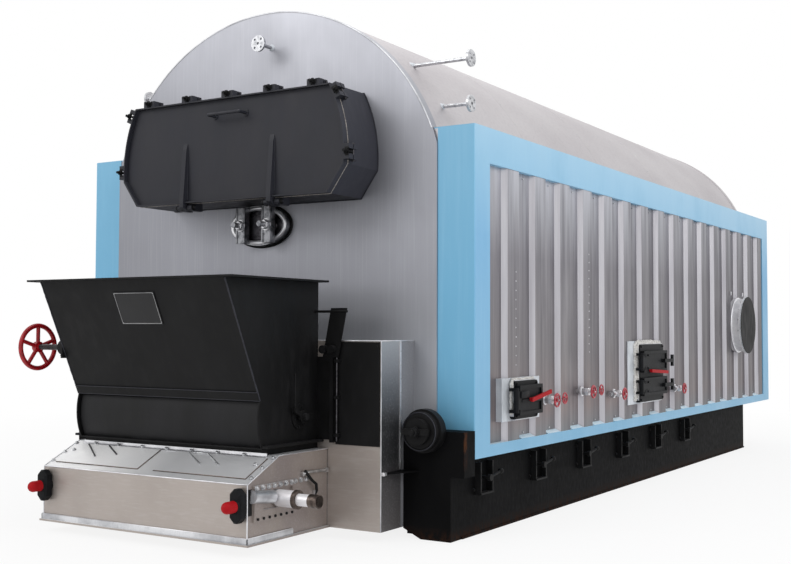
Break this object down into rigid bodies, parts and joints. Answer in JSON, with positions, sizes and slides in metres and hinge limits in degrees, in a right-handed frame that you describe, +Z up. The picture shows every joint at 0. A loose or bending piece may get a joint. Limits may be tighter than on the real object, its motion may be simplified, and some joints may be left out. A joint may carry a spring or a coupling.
{
  "type": "chain-grate steam boiler",
  "caption": "Packaged coal-fired industrial steam boiler with front hopper, chain-grate box, bottom-hinged smoke box door, clad drum, corrugated side casing and base with dampers.",
  "frame": {"origin": "on the ground at the middle of the boiler's bounding box, on its centre plane", "axes": "+Z up, -Y towards the hopper end, +X to the right when facing the front"},
  "size_m": [2.976, 7.363, 2.96],
  "materials": {
    "aluminium_sheet": "satin rolled sheet cladding",
    "corrugated_sheet": "trapezoidal rolled sheet",
    "blue_paint": "semi-gloss sky-blue paint",
    "black_paint": "satin black paint",
    "smokebox_paint": "matt dark grey heat-resistant paint",
    "red_paint": "gloss red paint",
    "bright_steel": "machined bright steel",
    "galvanised_box": "bright aluminium-painted plate",
    "cast_black": "black painted casting",
    "blank_label": "dark blank plate"
  },
  "bodies": {
    "boiler": {"casing_core": "aluminium_sheet", "drum_cladding": "aluminium_sheet", "front_plate": "aluminium_sheet", "rear_plate": "aluminium_sheet", "casing_frame_right": "blue_paint", "casing_frame_left": "blue_paint", "corrugated_panel_right": "corrugated_sheet", "corrugated_panel_left": "corrugated_sheet", "base_side_right": "black_paint", "base_side_left": "black_paint", "base_front_boxes": "black_paint", "base_rear_beam": "black_paint", "stoker_chassis": "black_paint", "damper_boxes_right": "black_paint", "damper_boxes_left": "black_paint", "damper_levers_left": "black_paint", "header_ends": "black_paint", "front_wall_box": "galvanised_box", "wall_panels": "black_paint", "smokebox_shell": "smokebox_paint", "smokebox_hinges": "smokebox_paint", "manhole": "bright_steel", "front_nozzle": "bright_steel", "level_nozzles": "bright_steel", "hopper": "black_paint", "gate_lift": "black_paint", "handwheel_bearing": "black_paint", "rating_plate": "blank_label", "grate_front_box": "galvanised_box", "grate_lids": "galvanised_box", "tension_caps": "cast_black", "take_up_bearings": "galvanised_box", "inspection_surround": "aluminium_sheet", "inspection_frame": "cast_black", "fire_surround": "aluminium_sheet", "fire_frame": "cast_black", "door_surrounds_left": "aluminium_sheet", "side_doors_left": "cast_black", "blowdown_valves": "bright_steel", "duct_stub": "aluminium_sheet", "duct_blank": "black_paint"},
    "smokebox_door": {"smokebox_door": "smokebox_paint"},
    "fan_gate": {"fan_gate": "black_paint", "gate_lever": "black_paint"},
    "hopper_handwheel": {"hopper_handwheel": "red_paint"},
    "inspection_door": {"inspection_door": "cast_black"},
    "fire_door_upper": {"fire_door_upper": "cast_black"},
    "fire_door_lower": {"fire_door_lower": "cast_black"},
    "damper_lever_1": {"damper_lever_1": "black_paint"},
    "damper_lever_2": {"damper_lever_2": "black_paint"},
    "damper_lever_3": {"damper_lever_3": "black_paint"},
    "damper_lever_4": {"damper_lever_4": "black_paint"},
    "damper_lever_5": {"damper_lever_5": "black_paint"},
    "damper_lever_6": {"damper_lever_6": "black_paint"},
    "valve_wheel_1": {"valve_wheel_1": "red_paint"},
    "valve_wheel_2": {"valve_wheel_2": "red_paint"},
    "valve_wheel_3": {"valve_wheel_3": "red_paint"},
    "valve_wheel_4": {"valve_wheel_4": "red_paint"}
  },
  "joints": [
    {"name": "smokebox_door_swing", "type": "hinge", "parent": "boiler", "child": "smokebox_door", "pos_m": [0, -2.8605, 1.792], "axis": [1, 0, 0], "range_deg": [0, 110]},
    {"name": "fan_gate_swing", "type": "hinge", "parent": "boiler", "child": "fan_gate", "pos_m": [0, -3.0485, 0.64], "axis": [1, 0, 0], "range_deg": [-38, 0]},
    {"name": "handwheel_turn", "type": "hinge", "parent": "boiler", "child": "hopper_handwheel", "pos_m": [-0.9, -3.43384, 0.987], "axis": [1, 0, 0], "continuous": true},
    {"name": "inspection_door_swing", "type": "hinge", "parent": "boiler", "child": "inspection_door", "pos_m": [1.453, -2.1675, 0.704], "axis": [0, 0, 1], "range_deg": [-100, 0]},
    {"name": "fire_door_upper_swing", "type": "hinge", "parent": "boiler", "child": "fire_door_upper", "pos_m": [1.453, -0.1725, 0.87], "axis": [0, 0, 1], "range_deg": [-100, 0]},
    {"name": "fire_door_lower_swing", "type": "hinge", "parent": "boiler", "child": "fire_door_lower", "pos_m": [1.453, -0.1725, 0.6945], "axis": [0, 0, 1], "range_deg": [-100, 0]},
    {"name": "damper_1_swing", "type": "hinge", "parent": "boiler", "child": "damper_lever_1", "pos_m": [1.373, -2.3245, 0.3], "axis": [1, 0, 0], "range_deg": [-40, 20]},
    {"name": "damper_2_swing", "type": "hinge", "parent": "boiler", "child": "damper_lever_2", "pos_m": [1.373, -1.6275, 0.3], "axis": [1, 0, 0], "range_deg": [-40, 20]},
    {"name": "damper_3_swing", "type": "hinge", "parent": "boiler", "child": "damper_lever_3", "pos_m": [1.373, -0.9305, 0.3], "axis": [1, 0, 0], "range_deg": [-40, 20]},
    {"name": "damper_4_swing", "type": "hinge", "parent": "boiler", "child": "damper_lever_4", "pos_m": [1.373, -0.2335, 0.3], "axis": [1, 0, 0], "range_deg": [-40, 20]},
    {"name": "damper_5_swing", "type": "hinge", "parent": "boiler", "child": "damper_lever_5", "pos_m": [1.373, 0.4635, 0.3], "axis": [1, 0, 0], "range_deg": [-40, 20]},
    {"name": "damper_6_swing", "type": "hinge", "parent": "boiler", "child": "damper_lever_6", "pos_m": [1.373, 1.1605, 0.3], "axis": [1, 0, 0], "range_deg": [-40, 20]},
    {"name": "valve_1_turn", "type": "hinge", "parent": "boiler", "child": "valve_wheel_1", "pos_m": [1.475, -1.6685, 0.682], "axis": [1, 0, 0], "continuous": true},
    {"name": "valve_2_turn", "type": "hinge", "parent": "boiler", "child": "valve_wheel_2", "pos_m": [1.475, -1.1085, 0.706], "axis": [1, 0, 0], "continuous": true},
    {"name": "valve_3_turn", "type": "hinge", "parent": "boiler", "child": "valve_wheel_3", "pos_m": [1.475, -0.5585, 0.668], "axis": [1, 0, 0], "continuous": true},
    {"name": "valve_4_turn", "type": "hinge", "parent": "boiler", "child": "valve_wheel_4", "pos_m": [1.475, 0.7205, 0.65], "axis": [1, 0, 0], "continuous": true}
  ]
}
